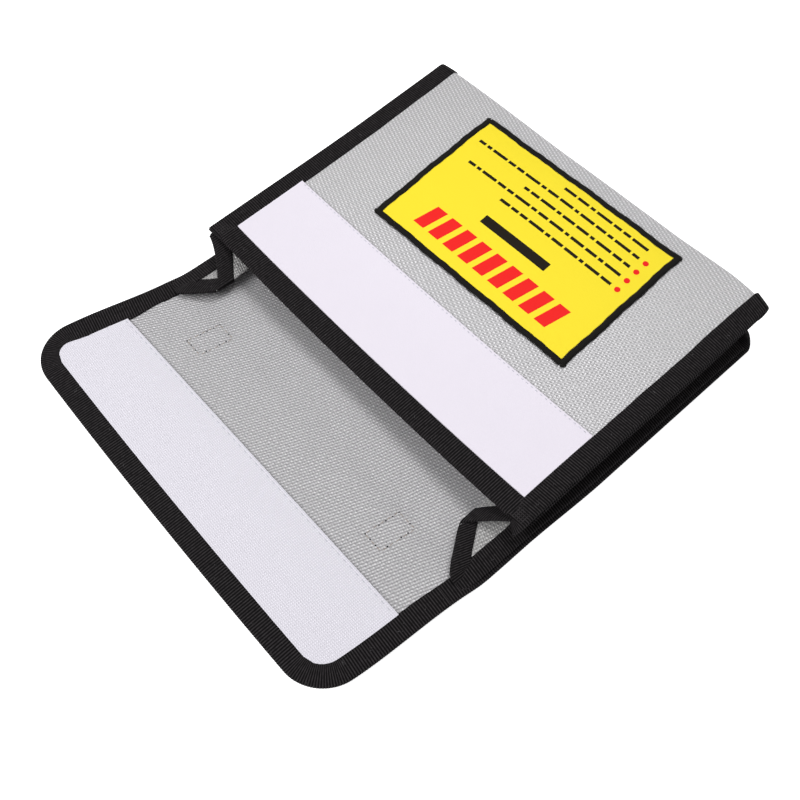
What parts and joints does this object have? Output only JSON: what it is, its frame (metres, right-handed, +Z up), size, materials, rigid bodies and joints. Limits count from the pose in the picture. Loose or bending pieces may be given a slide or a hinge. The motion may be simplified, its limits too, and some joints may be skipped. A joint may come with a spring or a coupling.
{
  "type": "lipo safe bag",
  "caption": "Flat silver fire-resistant pouch with black bound edges, inward-folded sides and bottom, a fold-over flap with a hook strip, and a printed label.",
  "frame": {"origin": "under the middle of the outline with the flap open flat, on the surface that the bag lies on", "axes": "+X along the mouth, +Y from the mouth to the bottom of the bag, +Z up from the back to the front panel"},
  "size_m": [0.24, 0.296, 0.0226],
  "materials": {
    "silver_cloth": "silver-grey coated plain-weave glass-fibre cloth, satin",
    "black_binding": "black ribbed grosgrain tape, matt",
    "loop_pile": "white brushed loop pile",
    "hook_pile": "white hook pile in fine rows",
    "label_cloth": "yellow printed woven label",
    "webbing": "black woven webbing",
    "thread": "beige sewing thread"
  },
  "bodies": {
    "back": {"back_panel": "silver_cloth", "back_bottom_fold": "silver_cloth", "back_binding_left": "black_binding", "back_binding_right": "black_binding", "back_corner_binding_left": "black_binding", "back_corner_binding_right": "black_binding"},
    "front": {"front_panel": "silver_cloth", "front_bottom_fold": "silver_cloth", "front_mouth_binding": "black_binding", "front_binding_left": "black_binding", "front_binding_right": "black_binding", "front_corner_binding_left": "black_binding", "front_corner_binding_right": "black_binding", "loop_strip": "loop_pile", "label_patch": "label_cloth", "label_border": "black_binding"},
    "flap_spine": {"flap_spine_panel": "silver_cloth", "flap_spine_binding_left": "black_binding", "flap_spine_binding_right": "black_binding", "handle_strap": "webbing", "handle_box_stitch_left": "thread", "handle_box_stitch_right": "thread"},
    "flap_cover": {"flap_cover_panel": "silver_cloth", "flap_binding": "black_binding", "hook_strip": "hook_pile"},
    "bottom_back": {"bottom_back_panel": "silver_cloth"},
    "bottom_front": {"bottom_front_panel": "silver_cloth"},
    "left_gusset_back": {"left_gusset_back_panel": "silver_cloth", "left_gusset_back_seam_binding": "black_binding", "left_gusset_back_mouth_binding": "black_binding", "left_gusset_back_end_binding": "black_binding"},
    "left_gusset_front": {"left_gusset_front_panel": "silver_cloth", "left_gusset_front_seam_binding": "black_binding", "left_gusset_front_mouth_binding": "black_binding", "left_gusset_front_end_binding": "black_binding"},
    "right_gusset_back": {"right_gusset_back_panel": "silver_cloth", "right_gusset_back_seam_binding": "black_binding", "right_gusset_back_mouth_binding": "black_binding", "right_gusset_back_end_binding": "black_binding"},
    "right_gusset_front": {"right_gusset_front_panel": "silver_cloth", "right_gusset_front_seam_binding": "black_binding", "right_gusset_front_mouth_binding": "black_binding", "right_gusset_front_end_binding": "black_binding"}
  },
  "joints": [
    {"name": "bag_opening", "type": "hinge", "parent": "back", "child": "left_gusset_back", "pos_m": [-0.119, 0, 0.0037], "axis": [0, -1, 0], "range_deg": [0, 75.82]},
    {"name": "left_gusset_middle_fold", "type": "hinge", "parent": "left_gusset_back", "child": "left_gusset_front", "pos_m": [-0.09088, 0, 0.0108], "axis": [0, 1, 0], "range_deg": [0, 151.74]},
    {"name": "front_left_seam_fold", "type": "hinge", "parent": "left_gusset_front", "child": "front", "pos_m": [-0.119, 0, 0.0179], "axis": [0, -1, 0], "range_deg": [0, 75.92]},
    {"name": "right_gusset_back_fold", "type": "hinge", "parent": "back", "child": "right_gusset_back", "pos_m": [0.119, 0, 0.0037], "axis": [0, 1, 0], "range_deg": [0, 75.92]},
    {"name": "right_gusset_middle_fold", "type": "hinge", "parent": "right_gusset_back", "child": "right_gusset_front", "pos_m": [0.09088, 0, 0.0108], "axis": [0, -1, 0], "range_deg": [0, 151.74]},
    {"name": "bottom_back_fold", "type": "hinge", "parent": "back", "child": "bottom_back", "pos_m": [0, 0.1402, 0.0037], "axis": [-1, 0, 0], "range_deg": [0, 75.92]},
    {"name": "bottom_middle_fold", "type": "hinge", "parent": "bottom_back", "child": "bottom_front", "pos_m": [0, 0.11208, 0.0108], "axis": [1, 0, 0], "range_deg": [0, 151.74]},
    {"name": "flap_spine_fold", "type": "hinge", "parent": "back", "child": "flap_spine", "pos_m": [0, -0.0618, 0.002], "axis": [-1, 0, 0], "range_deg": [0, 110]},
    {"name": "flap_cover_fold", "type": "hinge", "parent": "flap_spine", "child": "flap_cover", "pos_m": [0, -0.0863, 0.002], "axis": [-1, 0, 0], "range_deg": [0, 70]}
  ],
  "couplings": [
    {"joint": "left_gusset_middle_fold", "follows": "bag_opening", "ratio": 2},
    {"joint": "front_left_seam_fold", "follows": "bag_opening", "ratio": 1},
    {"joint": "right_gusset_back_fold", "follows": "bag_opening", "ratio": 1},
    {"joint": "right_gusset_middle_fold", "follows": "bag_opening", "ratio": 2},
    {"joint": "bottom_back_fold", "follows": "bag_opening", "ratio": 1},
    {"joint": "bottom_middle_fold", "follows": "bag_opening", "ratio": 2}
  ]
}
